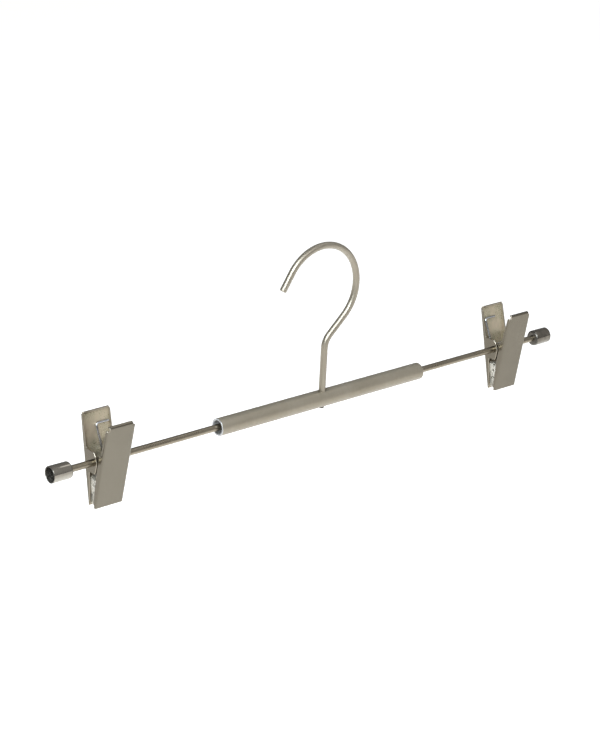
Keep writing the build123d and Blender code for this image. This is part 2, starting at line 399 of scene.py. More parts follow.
class Bench:
    """A mesh being finished with modifiers, in millimetres."""

    def __init__(self, mesh: bpy.types.Mesh) -> None:
        """Put a mesh on the bench.

        Args:
            mesh: The mesh, whose name the finished one takes.
        """
        self._name = mesh.name
        self._piece = linked(mesh.name, mesh)
        self._tools: list[bpy.types.Object] = []

    def drill(self, cutter: Skin) -> "Bench":
        """Cut a hole in the shape of another skin, with its walls in the second finish.

        Args:
            cutter: The drill's skin.

        Returns:
            This bench.
        """
        mesh = cutter.mesh("drill")
        for material in self._piece.data.materials:
            mesh.materials.append(material)
        pick_finish(mesh, np.ones(len(mesh.polygons)))
        tool = linked("drill", mesh)
        tool.hide_render = True
        self._tools.append(tool)
        boolean = self._piece.modifiers.new("hole", "BOOLEAN")
        boolean.operation = "DIFFERENCE"
        boolean.solver = "EXACT"
        boolean.object = tool
        return self

    def flatten(self) -> "Bench":
        """Keep flat faces flat in the shading.

        Returns:
            This bench.
        """
        flat = self._piece.modifiers.new("flat faces", "WEIGHTED_NORMAL")
        flat.keep_sharp = True
        return self

    def settled(self) -> bpy.types.Mesh:
        """Apply everything, clear the bench and give back the finished mesh.

        Returns:
            The finished mesh, in millimetres.
        """
        graph = bpy.context.evaluated_depsgraph_get()
        done = bpy.data.meshes.new_from_object(self._piece.evaluated_get(graph))
        for used in (self._piece, *self._tools):
            data = used.data
            bpy.data.objects.remove(used)
            bpy.data.meshes.remove(data)
        done.name = self._name
        return done


@dataclass(frozen=True)
class Place:
    """Where a sub-assembly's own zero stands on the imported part, and how far it is swung."""

    x: float
    z: float
    swing: float = 0.0

    def matrix(self) -> Matrix:
        """Turn by the swing about X, then move and scale to metres."""
        move = Matrix.Translation(Vector((self.x, 0.0, self.z)) * METRE)
        return move @ Matrix.Rotation(math.radians(self.swing), 4, "X") @ Matrix.Scale(METRE, 4)


def shown(mesh: bpy.types.Mesh, place: Place, node: str) -> bpy.types.Object:
    """Move a mesh to its place and show it as the piece that stands for a CAD node.

    Args:
        mesh: The finished mesh, in millimetres.
        place: Where its own zero stands.
        node: CAD node that it stands for.

    Returns:
        The new object.
    """
    mesh.transform(place.matrix())
    piece = linked(mesh.name, mesh)
    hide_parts(node)
    log.info("%s: %d faces for %s", piece.name, len(mesh.polygons), node)
    return piece


# Finishes


class Nodes:
    """Adds and links the nodes of one tree."""

    def __init__(self, owner: bpy.types.Material | bpy.types.World, place: str) -> None:
        """Empty the owner's tree.

        Args:
            owner: Material or world that has the tree.
            place: Which coordinates its patterns lie on.
        """
        owner.use_nodes = True
        self.tree = owner.node_tree
        self.tree.nodes.clear()
        self.place = self.add("ShaderNodeTexCoord").outputs[place]

    def feed(self, node: bpy.types.Node, **inputs: object) -> bpy.types.Node:
        """Set a node's inputs, or link them where the value is another node's output.

        Args:
            node: The node.
            **inputs: Values or outputs for its inputs, named with underscores for spaces.

        Returns:
            The same node.
        """
        for name, value in inputs.items():
            target = node.inputs[name.replace("_", " ")]
            if isinstance(value, Socket):
                self.tree.links.new(value, target)
            else:
                target.default_value = value
        return node

    def add(self, kind: str, **inputs: object) -> bpy.types.Node:
        """Add a node of a kind and feed its inputs."""
        return self.feed(self.tree.nodes.new(kind), **inputs)

    def noise(self, scale: float, detail: float, stretch: Triple | None = None) -> Socket:
        """Noise over the place, drawn out along an axis if asked.

        Args:
            scale: Features per metre.
            detail: How many finer layers it has.
            stretch: Scale of each axis before the noise.

        Returns:
            The noise's value.
        """
        place = self.place
        if stretch is not None:
            place = self.add("ShaderNodeMapping", Vector=place, Scale=stretch).outputs["Vector"]
        node = self.add("ShaderNodeTexNoise", Vector=place, Scale=scale, Detail=detail)
        return node.outputs["Fac"]

    def ramp(self, value: Socket, stops: list[tuple[float, Triple]]) -> Socket:
        """Colours along a value.

        Args:
            value: The value that picks the colour.
            stops: Where each colour stands between 0 and 1.

        Returns:
            The colour.
        """
        node = self.add("ShaderNodeValToRGB", Fac=value)
        elements = node.color_ramp.elements
        while len(elements) < len(stops):
            elements.new(0.5)
        for element, (position, colour) in zip(elements, stops):
            element.position = position
            element.color = (*colour, 1.0)
        return node.outputs["Color"]

    def spread(self, value: Socket, low: float, high: float, start: float, end: float) -> Socket:
        """Map a value evenly from one range to another.

        Args:
            value: The value.
            low: What the start of its range becomes.
            high: What the end of its range becomes.
            start: Start of its range.
            end: End of its range.

        Returns:
            The mapped value, kept between low and high.
        """
        node = self.add("ShaderNodeMapRange", Value=value, From_Min=start, From_Max=end)
        return self.feed(node, To_Min=low, To_Max=high).outputs["Result"]

    def blend(self, share: float, first: Socket, second: Socket) -> Socket:
        """Mix two colours.

        Args:
            share: How much of the second colour shows.
            first: First colour.
            second: Second colour.

        Returns:
            The mixed colour.
        """
        node = self.add("ShaderNodeMix", Factor=share)
        node.data_type = "RGBA"
        first_colour, second_colour = [end for end in node.inputs if end.type == "RGBA"]
        self.tree.links.new(first, first_colour)
        self.tree.links.new(second, second_colour)
        return next(end for end in node.outputs if end.type == "RGBA")


class Coat(Nodes):
    """The nodes of one material, with its shader and its output."""

    def __init__(self, name: str) -> None:
        """Start a material with this name.

        Args:
            name: Name of the material.
        """
        self.material = bpy.data.materials.new(name)
        super().__init__(self.material, "Object")
        self.shader = self.add("ShaderNodeBsdfPrincipled")
        self.add("ShaderNodeOutputMaterial", Surface=self.shader.outputs["BSDF"])

    def gloss(self, noise: Socket, smooth: float, rough: float) -> Socket:
        """Roughness that follows the middle of a noise's range."""
        return self.spread(noise, smooth, rough, NOISE_STOPS[0], NOISE_STOPS[-1])

    def bump(self, layers: list[tuple[Socket, float]]) -> None:
        """Raise the surface by some heights, one after another.

        Args:
            layers: Each height's socket and its depth in millimetres.
        """
        last = {}
        for height, depth in layers:
            depth *= METRE
            node = self.add("ShaderNodeBump", Strength=1.0, Distance=depth, Height=height, **last)
            last = {"Normal": node.outputs["Normal"]}
        self.feed(self.shader, **last)


@dataclass(frozen=True)
class PlatedMetal:
    """Metal with a thin plating, whose tone, gloss and grain vary a little over its surface."""

    name: str
    tones: tuple[Triple, Triple, Triple]
    smooth: float
    rough: float
    metallic: float = 1.0
    patch_scale: float = 70.0
    grain_scale: float = 2600.0
    grain_depth: float = 0.003
    streak: Triple = (1.0, 1.0, 0.3)
    streak_scale: float = 500.0
    streak_depth: float = 0.0015
    streak_share: float = 0.35
    gloss_share: float = 0.5
    coat: float = 0.0

    def material(self) -> bpy.types.Material:
        """Build the material: cloudy tones, drawn streaks, a fine grain and uneven gloss.

        Returns:
            The new material.
        """
        nodes = Coat(self.name)
        clouds = nodes.noise(self.patch_scale, FULL_DETAIL)
        streaks = nodes.noise(self.streak_scale, SOFT_DETAIL, self.streak)
        grain = nodes.noise(self.grain_scale, SOFT_DETAIL)
        stops = list(zip(NOISE_STOPS, self.tones))
        tones, fine = nodes.ramp(clouds, stops), nodes.ramp(streaks, stops)
        gloss = nodes.blend(self.gloss_share, clouds, grain)
        nodes.feed(
            nodes.shader,
            Base_Color=nodes.blend(self.streak_share, tones, fine),
            Metallic=self.metallic,
            Roughness=nodes.gloss(gloss, self.smooth, self.rough),
            Coat_Weight=self.coat,
            Coat_Roughness=self.smooth,
        )
        nodes.bump([(streaks, self.streak_depth), (grain, self.grain_depth)])
        return nodes.material


@dataclass(frozen=True)
class ClearVinyl:
    """Soft clear plastic gone slightly milky, with a fine moulded skin."""

    name: str = "milky vinyl"
    clear: Triple = (0.64, 0.59, 0.5)
    milky: Triple = (0.36, 0.33, 0.27)
    smooth: float = 0.3
    rough: float = 0.45
    clearness: float = 0.25
    refraction: float = 1.45
    cloud_scale: float = 260.0
    cloud_detail: float = 3.0
    cloud_stops: tuple[float, float] = (0.35, 0.65)
    cloud_depth: float = 0.01
    grain_scale: float = 2400.0
    grain_depth: float = 0.004

    def material(self) -> bpy.types.Material:
        """Build the material: part clear, part milky, with cloudy tone and a moulded grain.

        Returns:
            The new material.
        """
        nodes = Coat(self.name)
        clouds = nodes.noise(self.cloud_scale, self.cloud_detail)
        grain = nodes.noise(self.grain_scale, SOFT_DETAIL)
        nodes.feed(
            nodes.shader,
            Base_Color=nodes.ramp(clouds, list(zip(self.cloud_stops, (self.milky, self.clear)))),
            Roughness=nodes.gloss(grain, self.smooth, self.rough),
            Transmission_Weight=self.clearness,
            IOR=self.refraction,
        )
        nodes.bump([(clouds, self.cloud_depth), (grain, self.grain_depth)])
        return nodes.material


DRAWN_WIRE = {
    "tones": ((0.29, 0.252, 0.19), (0.315, 0.276, 0.212), (0.34, 0.3, 0.234)),
    "grain_depth": 0.001,
    "streak_depth": 0.0005,
}


class Finish(Enum):
    """The finishes of this hanger, with their dark, middle and light tones."""

    SATIN = PlatedMetal(
        "satin nickel",
        ((0.186, 0.166, 0.13), (0.197, 0.176, 0.138), (0.208, 0.186, 0.146)),
        smooth=0.2, rough=0.28, metallic=0.95,
    )
    WIRE = PlatedMetal(
        "satin nickel wire", **DRAWN_WIRE, smooth=0.34, rough=0.4, metallic=0.75, coat=0.8
    )
    TUBE = PlatedMetal("satin nickel tube", **DRAWN_WIRE, smooth=0.36, rough=0.44, metallic=0.62)
    PEENED = PlatedMetal(
        "peened wire end",
        ((0.05, 0.045, 0.04), (0.09, 0.08, 0.07), (0.2, 0.18, 0.15)),
        smooth=0.3, rough=0.5, patch_scale=600.0,
    )
    ROD = PlatedMetal("satin nickel rod", **DRAWN_WIRE, smooth=0.24, rough=0.34)
    # Bare metal of the tube's cut ends; the tube's bore takes it too, as painted light against the
    # shade inside.
    CUT = PlatedMetal(
        "cut tube end and lightened bore",
        ((0.42, 0.42, 0.42), (0.52, 0.52, 0.52), (0.62, 0.62, 0.62)),
        smooth=0.25, rough=0.4, metallic=0.6,
    )
    # Partly a painted highlight: the sheared edges are lighter than the satin, standing in for light
    # caught along the edge, and partly bare cut metal.
    EDGE = PlatedMetal(
        "sheared jaw edge",
        ((0.42, 0.375, 0.3), (0.46, 0.41, 0.33), (0.5, 0.45, 0.37)),
        smooth=0.28, rough=0.36, grain_depth=0.001, streak_depth=0.0,
    )
    # Partly painted light: the jaws' inner faces are lighter than the outer satin, standing in for
    # light bounced between the jaws, and they are also warmer in tone.
    INSIDE = PlatedMetal(
        "tinted inside of a jaw",
        ((0.33, 0.3, 0.21), (0.46, 0.4, 0.285), (0.57, 0.46, 0.35)),
        smooth=0.24, rough=0.34, metallic=0.6, patch_scale=75.0,
    )
    BUSH = PlatedMetal(
        "tube bush",
        ((0.4, 0.39, 0.37), (0.58, 0.57, 0.54), (0.76, 0.75, 0.72)),
        smooth=0.3, rough=0.5, metallic=0.2, patch_scale=400.0,
    )
    BRIGHT = PlatedMetal(
        "bright nickel",
        ((0.35, 0.325, 0.28), (0.39, 0.365, 0.315), (0.43, 0.405, 0.35)),
        smooth=0.09, rough=0.15, grain_depth=0.0008,
    )
    # Painted shade: a darker copy of the bright nickel, which paints shade and dark reflections into
    # the right cap's outside.
    SHADED_BRIGHT = PlatedMetal(
        "darker bright nickel",
        ((0.17, 0.155, 0.13), (0.22, 0.2, 0.17), (0.3, 0.275, 0.235)),
        smooth=0.09, rough=0.18, patch_scale=300.0, grain_depth=0.0008,
    )
    # Painted shade: a near-black finish for a cap's inside, closed end and rim, standing in for shade
    # in the cup and for dark reflections on its ends.
    CAP_SHADE = PlatedMetal(
        "dull inside of a cap",
        ((0.05, 0.045, 0.04), (0.11, 0.1, 0.085), (0.2, 0.185, 0.16)),
        smooth=0.2, rough=0.35, metallic=0.7, patch_scale=450.0,
    )
    ZINC = PlatedMetal(
        "zinc wire",
        ((0.40, 0.41, 0.43), (0.52, 0.53, 0.55), (0.68, 0.68, 0.68)),
        smooth=0.14, rough=0.22,
    )
    VINYL = ClearVinyl()

    @cached_property
    def material(self) -> bpy.types.Material:
        """The finish's material, built when it is first asked for."""
        return self.value.material()


# The hook and the bar


@dataclass
class Hook:
    """Bent wire hook, whose lower end is turned down and peened over below the tube."""

    wire_radius: float = 2.0
    shank_height: float = 30.5
    neck_radius: float = 10.5
    neck_turn: float = 46.5
    slope_length: float = 13.55
    arc_radius: float = 26.0
    arc_turn: float = 194.5
    tip_length: float = 11.0
    tip_round: float = 0.45
    tail_radius: float = 1.1
    tail_head_radius: float = 1.7
    tail_head_thickness: float = 0.8
    tail_head_round: float = 0.35
    tail_seat: float = 5.05
    shoulder: float = 1.95
    shank_steps: int = 40
    neck_steps: int = 32
    slope_steps: int = 16
    arc_steps: int = 128
    tip_steps: int = 11
    around: int = 64

    def path(self) -> np.ndarray:
        """Centre line: straight shank, tight neck, straight slope, big arc and straight tip.

        A heading is measured from straight up towards +X. From a point p and the heading h, an
        arc of radius r runs through p + r (cos h - cos k, sin k - sin h) as the heading k
        changes, and its radius is negative where it turns towards -X.

        Returns:
            Points from the tail's foot to the hook's tip.
        """
        foot = -self.tail_seat - self.tail_head_thickness
        runs = (
            (self.shank_height - foot, 0.0, 0.0, self.shank_steps),
            (0.0, self.neck_radius, self.neck_turn, self.neck_steps),
            (self.slope_length, 0.0, 0.0, self.slope_steps),
            (0.0, -self.arc_radius, -self.arc_turn, self.arc_steps),
            (self.tip_length, 0.0, 0.0, self.tip_steps),
        )
        points = [np.array([[0.0, foot]])]
        heading = 0.0
        for length, radius, turn, steps in runs:
            share = np.linspace(0, 1, steps + 1)[1:]
            angle = heading + math.radians(turn) * share
            ahead = np.array([math.sin(heading), math.cos(heading)]) * length * share[:, None]
            x = math.cos(heading) - np.cos(angle)
            z = np.sin(angle) - math.sin(heading)
            points.append(points[-1][-1] + ahead + radius * np.stack([x, z], axis=-1))
            heading = angle[-1]
        flat = np.concatenate(points)
        return np.stack([flat[:, 0], np.zeros(len(flat)), flat[:, 1]], axis=-1)

    def build(self, place: Place) -> None:
        """Make the hook as one wire whose foot has its own radii.

        Args:
            place: Where the hanger's zero stands.
        """
        path = self.path()
        seat = self.tail_head_thickness
        top = seat + self.tail_seat + self.shoulder
        tail = [[seat, self.tail_head_radius], [seat, self.tail_radius], [top, self.tail_radius]]
        head = rim(self.tail_head_radius, self.tail_head_round)
        foot = np.concatenate([head, tail, [[top, self.wire_radius]]])
        across = np.repeat([[0.0, 1.0, 0.0]], len(path), axis=0)
        rings = swept(path, across, foot, rim(self.wire_radius, self.tip_round), self.around)
        mesh = Skin().add_rings(rings).mesh("wire_hook", Finish.WIRE, Finish.PEENED)
        _, _, height = face_middles(mesh)
        pick_finish(mesh, height < -self.tail_seat)
        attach(shown(mesh, place, "hook"), "hook")


@dataclass
class Bar:
    """Centre tube, the thin rod through it, two bushes and the two end caps."""

    half_length: float = 184.0
    tube_half: float = 75.0
    tube_radius: float = 5.0
    tube_wall: float = 1.0
    tube_round: float = 0.28
    cut_share: float = 0.7
    hole_zone: float = 6.0
    rod_radius: float = 1.9
    head_radius: float = 2.8
    head_thickness: float = 1.2
    head_round: float = 0.4
    bush_length: float = 8.0
    bush_recess: float = 5.0
    bush_rounds: tuple[float, float] = (0.4, 0.3)
    cap_radius: float = 4.75
    cap_depth: float = 12.0
    cap_wall: float = 0.6
    cap_floor: float = 0.8
    cap_hole_round: float = 0.1
    cap_end_round: float = 1.3
    cap_rim_round: float = 0.26
    cap_floor_round: float = 0.7
    # How far the painted shade reaches from a cap's closed end and in from its rim.
    dull_end: float = 0.9
    dull_rim: float = 0.12
    shank_hole: float = 2.05
    tail_hole: float = 1.15
    gap: float = 0.01
    skin_gap: float = 0.02
    drill_over: float = 1.0
    drill_apart: float = 0.5
    cap_steps: int = 8
    fine: int = 128
    medium: int = 96
    coarse: int = 64
    hole_around: int = 48

    def shell(self, corners: list[Triple], side: Side, around: int, steps: int = 6) -> Skin:
        """Closed profile of x, radius and rounding, put on one side and turned round the axis."""
        profile = rounded(corners, steps) * np.array([side.value, 1.0])
        return Skin().add_rings(revolved(profile, around), closed=True)

    def dull(self, mesh: bpy.types.Mesh, low: float, high: float, inner: float) -> bpy.types.Mesh:
        """Put the second finish on faces nearer than low, beyond high or within a radius.

        Args:
            mesh: A mesh with two finishes.
            low: Distance along X up to which faces take the second one.
            high: Distance along X from which they take it too.
            inner: Radius within which they take it.

        Returns:
            The same mesh.
        """
        x, y, z = np.abs(face_middles(mesh))
        pick_finish(mesh, (x < low) | (x > high) | (np.hypot(y, z) < inner + self.skin_gap))
        return mesh

    def tube(self) -> bpy.types.Mesh:
        """Tube wall turned round the axis, plated but for its cut ends, which are bare metal, and its
        inside, which takes the same lighter finish as painted light against the shade in the bore.

        Returns:
            The tube's mesh, not drilled yet.
        """
        inner = self.tube_radius - self.tube_wall
        half, rounding, zone = self.tube_half, self.tube_round, self.hole_zone
        stops = [(-half, rounding), (-zone, 0.0), (zone, 0.0), (half, rounding)]
        corners = [(x, self.tube_radius, turn) for x, turn in stops]
        corners += [(x, inner, turn) for x, turn in reversed(stops)]
        skin = self.shell(corners, Side.RIGHT, self.fine)
        mesh = skin.mesh("centre_tube_skin", Finish.TUBE, Finish.CUT)
        return self.dull(mesh, 0.0, half - rounding * self.cut_share, inner)

    def drilled_tube(self) -> bpy.types.Mesh:
        """Drill the tube for the hook's shank, from above, and for its tail, from below.

        Returns:
            The finished mesh.
        """
        drill = Skin()
        over = self.tube_radius + self.drill_over
        holes = ((self.shank_hole, 0.0, over), (self.tail_hole, -over, -self.drill_apart))
        for radius, low, high in holes:
            drill.add_rings(pin(radius, low, high, self.hole_around)[:, :, [2, 1, 0]])
        return Bench(self.tube()).drill(drill).settled()

    def rod(self) -> bpy.types.Mesh:
        """Rod with an upset head at each end.

        Returns:
            The rod's mesh.
        """
        neck = self.half_length - self.cap_depth + self.cap_floor + self.gap
        head = rim(self.head_radius, self.head_round)[::-1]
        tip = neck + self.head_thickness
        right = np.stack([tip - head[:, 0], head[:, 1]], axis=-1)
        right = np.concatenate([[[neck, self.rod_radius], [neck, self.head_radius]], right])
        left = right[::-1] * np.array([-1.0, 1.0])
        rings = revolved(np.concatenate([left, right]), self.coarse)
        return Skin().add_rings(rings).mesh("thin_rod", Finish.ROD)

    def bush(self, side: Side) -> bpy.types.Mesh:
        """Ring between rod and tube, set back from the tube's end.

        Args:
            side: The end of the tube that it sits in.

        Returns:
            The ring's mesh.
        """
        outer = self.tube_radius - self.tube_wall - self.gap
        inner = self.rod_radius + self.gap
        near = self.tube_half - self.bush_recess
        far = near - self.bush_length
        wide, narrow = self.bush_rounds
        corners = [(far, outer, wide), (near, outer, wide), (near, inner, narrow), (far, inner, narrow)]
        skin = self.shell(corners, side, self.medium)
        return skin.mesh(f"{side.label}_tube_bush", Finish.BUSH)

    def cap(self, side: Side) -> bpy.types.Mesh:
        """Drawn cup with a rounded closed end on the rod and an open mouth.

        Args:
            side: The end of the rod that it sits on.

        Returns:
            The cup's mesh: bright nickel outside, or a darker copy of it as painted shade on the right
            cap, with painted shade on its inside, its closed end and its rim.
        """
        seat = self.half_length - self.cap_depth
        hole = self.rod_radius + self.gap
        inner = self.cap_radius - self.cap_wall
        floor = seat + self.cap_floor
        corners = [
            (seat, hole, self.cap_hole_round),
            (seat, self.cap_radius, self.cap_end_round),
            (self.half_length, self.cap_radius, self.cap_rim_round),
            (self.half_length, inner, self.cap_rim_round),
            (floor, inner, self.cap_floor_round),
            (floor, hole, 0.0),
        ]
        # The right cap's outside takes the darker copy of the bright nickel, which is painted shade.
        outside = Finish.BRIGHT if side is Side.LEFT else Finish.SHADED_BRIGHT
        skin = self.shell(corners, side, self.fine, self.cap_steps)
        mesh = skin.mesh(f"{side.label}_end_cap", outside, Finish.CAP_SHADE)
        # Faces near the closed end, at the rim and inside the cup take the painted shade finish.
        return self.dull(mesh, seat + self.dull_end, self.half_length - self.dull_rim, inner)

    def build(self, place: Place) -> None:
        """Make and finish the bar's six pieces.

        Args:
            place: Where the hanger's zero stands.
        """
        pieces = [("centre_tube", self.drilled_tube()), ("cross_rod", self.rod())]
        for side in Side:
            pieces += [(f"{side.label}_bush", self.bush(side)), (f"{side.label}_cap", self.cap(side))]
        for node, mesh in pieces:
            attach(shown(mesh, place, node), "bar")


# The clips


@dataclass(frozen=True)
class Ear:
    """Outline of a jaw's ear, from its shoulder round the nose to the arch above the pads.

    Each corner is given in nose radii from the rod: towards the jaw's own plate, up the plate,
    and the rounding.
    """

    nose: float
    shoulder: float
    step: float
    corners: tuple[Triple, ...]


REAR_EAR = Ear(
    nose=3.55,
    shoulder=7.3,
    step=0.0,
    corners=(
        (-0.38, 1.71, 0.35),
        (-0.84, 1.06, 0.45),
        (-0.96, 0.26, 0.40),
        (-0.90, -0.42, 0.40),
        (-0.62, -1.16, 0.30),
        (-0.22, -1.86, 0.12),
        (1.15, -1.68, 0.30),
    ),
)
FRONT_EAR = Ear(
    nose=3.05,
    shoulder=8.1,
    step=1.0,
    corners=(
        (0.23, 1.14, 0.30),
        (-0.60, 0.90, 0.30),
        (-1.00, 0.05, 0.30),
        (-0.62, -0.86, 0.30),
        (0.05, -1.55, 0.20),
        (1.34, -1.93, 0.30),
    ),
)


@dataclass
class Jaw:
    """Jaw pressed from sheet: a plate with a folded top lip, and a wall with an ear each side."""

    facing: Facing
    ear: Ear
    notch_height: float
    notch_inset: float
    lip_rise: float = 0.0
    width: float = 18.0
    sheet: float = 0.9
    bend: float = 1.05
    lean: float = 10.7
    rod_reach: float = 8.02
    rise: float = 26.25
    drop: float = 25.2
    lip_depth: float = 1.9
    top_width: float = 1.6
    ear_width: float = 2.7
    arch_width: float = 3.3
    foot_width: float = 2.1
    foot_step: float = 1.5
    edge_round: float = 0.4
    arch_depth: float = 9.3
    joggle_start: float = 3.4
    bore: float = 1.95
    drill_reach: float = 12.0
    bore_around: int = 64
    edge_bulge: float = 0.28
    edge_steps: int = 6
    edge_spacing: float = 0.45
    edge_margin: float = 0.15
    ear_margin: float = 0.3
    wall_rows: int = 26
    bend_steps: int = 6
    plate_steps: int = 8
    foot_rows: int = 3
    corner_steps: int = 5

    def off_nose(self, edge: np.ndarray) -> np.ndarray:
        """Move points that lie inside the nose's circle out to it."""
        from_rod = np.linalg.norm(edge, axis=1, keepdims=True)
        return np.where(from_rod < self.ear.nose, edge * self.ear.nose / from_rod, edge)

    def free_edge(self) -> tuple[np.ndarray, np.ndarray]:
        """Free edge of a side wall, and where its columns stand on the bend.

        The edge's corners are rounded, and it keeps outside the nose's circle. Long runs get
        more points. Beside the ear the columns leave the bend evenly, by distance along the
        edge, and elsewhere each stands at its own height.

        Returns:
            Rows of y and z down the edge, and the height of each one's foot on the bend.
        """
        bend_line = self.rod_reach - self.bend
        top = self.rise - self.notch_height - self.edge_bulge
        foot = self.foot_step - self.drop
        nose = self.ear.nose
        corners = [
            (bend_line, top, 0.0),
            (self.rod_reach - self.top_width, top, self.edge_round),
            (self.rod_reach - self.ear_width, self.ear.shoulder, self.edge_round),
            *((nose * out, nose * up, nose * corner) for out, up, corner in self.ear.corners),
            (self.rod_reach - self.arch_width, -self.arch_depth, self.edge_round),
            (self.rod_reach - self.foot_width, foot, self.edge_round),
            (bend_line, foot, 0.0),
        ]
        edge = self.off_nose(rounded(corners, self.corner_steps)[1:-1])
        distance = walked(edge)
        even = np.linspace(0, distance[-1], int(distance[-1] / self.edge_spacing))
        far = np.min(np.abs(even[:, None] - distance[None, :]), axis=1) > self.edge_margin
        stations = np.sort(np.concatenate([distance, even[far]]))
        edge = self.off_nose(resampled(edge, distance, stations))
        way = unit(np.gradient(edge, axis=0))
        edge = edge + np.stack([-way[:, 1], way[:, 0]], axis=-1) * self.edge_bulge
        heights = edge[:, 1]
        first = int(np.sum(heights > self.ear.shoulder + self.ear_margin))
        below = heights[first + 1 :] < -self.arch_depth - self.ear_margin
        last = len(edge) - int(below.sum()) - 1
        feet = heights.copy()
        share = (stations[first : last + 1] - stations[first]) / (stations[last] - stations[first])
        feet[first : last + 1] = heights[first] + (heights[last] - heights[first]) * share
        return edge, feet

    def step_in(self, y: np.ndarray) -> np.ndarray:
        """How far a wall has stepped in at distance y: a smooth step s s (3 - 2 s).

        Args:
            y: Distances from the clip's middle plane.

        Returns:
            The step at each of them.
        """
        if self.ear.step == 0:
            return np.zeros_like(y)
        share = np.clip((self.rod_reach - self.joggle_start - y) / self.ear.step, 0, 1)
        return self.ear.step * share * share * (3 - 2 * share)

    def skin(self, depth: float) -> tuple[np.ndarray, np.ndarray]:
        """One face of the pressed sheet, as a grid with its unused corners left out.

        Rows run down the jaw: the lip, its fold and the top of the plate, then the rows that
        carry the side walls, then the plate's foot. Across a row the points go from one wall's
        free edge to its bend, round the bend, over the plate and down the other wall. A wall's
        points lie on straight lines from the bend to the free edge.

        Args:
            depth: How deep this face lies in the sheet, from 0 outside to the sheet inside.

        Returns:
            The points, with the plate upright and towards +Y, and the faces.
        """
        half = self.width / 2
        bend_y = self.rod_reach - self.bend
        bend = self.bend - depth
        edge, feet = self.free_edge()
        fold = math.pi / 2 - math.radians(self.lip_rise)
        lip = self.lip_depth - self.bend + self.bend * math.radians(self.lip_rise)
        lip -= self.edge_bulge
        around_fold = circle(np.linspace(fold, 0, self.bend_steps + 1)) * bend
        folded = np.array([bend_y, self.rise - self.bend]) + around_fold
        lip_end = folded[0] + np.array([-math.sin(fold), math.cos(fold)]) * lip
        top_y, top_z = np.concatenate([[lip_end], folded]).T
        foot_z = np.linspace(feet[-1], self.edge_bulge - self.drop, self.foot_rows + 1)[1:]
        rows_y = np.concatenate([top_y, np.full(len(feet) + len(foot_z), self.rod_reach - depth)])
        rows_z = np.concatenate([top_z, feet, foot_z])[:, None]
        edge_y = np.pad(edge[:, 0], (len(top_z), len(foot_z)), mode="edge")[:, None]
        edge_z = np.concatenate([top_z, edge[:, 1], foot_z])[:, None]
        share = np.linspace(1, 0, self.wall_rows + 1)[None, :-1]
        wall_y = bend_y + (edge_y - bend_y) * share
        turn = np.linspace(0, math.pi / 2, self.bend_steps + 1)[None, :]
        notch = half - self.notch_inset - self.edge_bulge
        wall, bent, plate = (
            np.stack(np.broadcast_arrays(*axes), axis=-1)
            for axes in (
                (self.step_in(wall_y) - half + depth, wall_y, rows_z + (edge_z - rows_z) * share),
                (self.bend - half - bend * np.cos(turn), bend_y + bend * np.sin(turn), rows_z),
                (np.linspace(-notch, notch, self.plate_steps + 1)[None, :], rows_y[:, None], rows_z),
            )
        )
        left = np.concatenate([wall, bent], axis=1)
        right = left[:, ::-1] * np.array([-1.0, 1.0, 1.0])
        grid = np.concatenate([left, plate, right], axis=1)
        count, across = grid.shape[:2]
        row = np.arange(count - 1)[:, None]
        column = np.arange(across - 1)[None, :]
        sides = left.shape[1]
        on_plate = (column >= sides) & (column < sides + self.plate_steps)
        on_wall = (column < self.wall_rows) | (column >= across - 1 - self.wall_rows)
        has_wall = (row >= len(top_z)) & (row < len(top_z) + len(feet) - 1)
        kept = np.where(row < len(top_z), on_plate, has_wall | ~on_wall)
        faces = bands(count - 1, across - 1, across)[kept][:, [0, 3, 2, 1]]
        used, faces = np.unique(faces, return_inverse=True)
        return grid.reshape(-1, 3)[used], faces.reshape(-1, 4)

    def pressed(self) -> tuple[Skin, list[int]]:
        """Close the sheet: its outer face, its inner face and a rounded band along every cut edge.

        A cut edge is a face's side that no other face shares. With m half-way between a point of
        the outer face and its point on the inner face, h the half from m to the outer one, and t
        the way out of the sheet as long as the bulge, the band's points are m + h cos a + t sin a.

        Returns:
            The jaw's skin, and how many faces the outside, the inside and the band have.
        """
        outside, faces = self.skin(0.0)
        inside, _ = self.skin(self.sheet)
        start, end = faces.ravel(), np.roll(faces, -1, axis=1).ravel()
        count = len(outside)
        alone = ~np.isin(start * count + end, end * count + start)
        start, end = start[alone], end[alone]
        way = unit(outside[end] - outside[start])
        along = np.zeros_like(outside)
        np.add.at(along, start, way)
        np.add.at(along, end, way)
        rim_points = np.unique(start)
        half = (outside - inside)[rim_points] / 2
        first = outside[faces[:, 1:3]] - outside[faces[:, :1]]
        facing = np.cross(first[:, 0], first[:, 1])
        turned = math.copysign(1.0, float(np.sum(facing * (outside - inside)[faces[:, 0]])))
        out = unit(np.cross(along[rim_points], half)) * turned * self.edge_bulge
        angle = np.linspace(0, math.pi, self.edge_steps + 1)[1:-1, None, None]
        middle = (outside + inside)[rim_points] / 2
        rounds = middle + half * np.cos(angle) + out * np.sin(angle)
        rank = np.searchsorted(rim_points, np.arange(count))
        rows = [np.arange(count)]
        rows += [2 * count + step * len(rim_points) + rank for step in range(len(rounds))]
        rows.append(np.arange(count) + count)
        band = [
            np.stack([near[end], near[start], far[start], far[end]], axis=-1)
            for near, far in zip(rows[:-1], rows[1:])
        ]
        points = self.leaned(np.concatenate([outside, inside, rounds.reshape(-1, 3)]))
        skin = Skin().add(points, [faces, faces[:, ::-1] + count, *band])
        return skin, [len(faces), len(faces), len(start) * self.edge_steps]

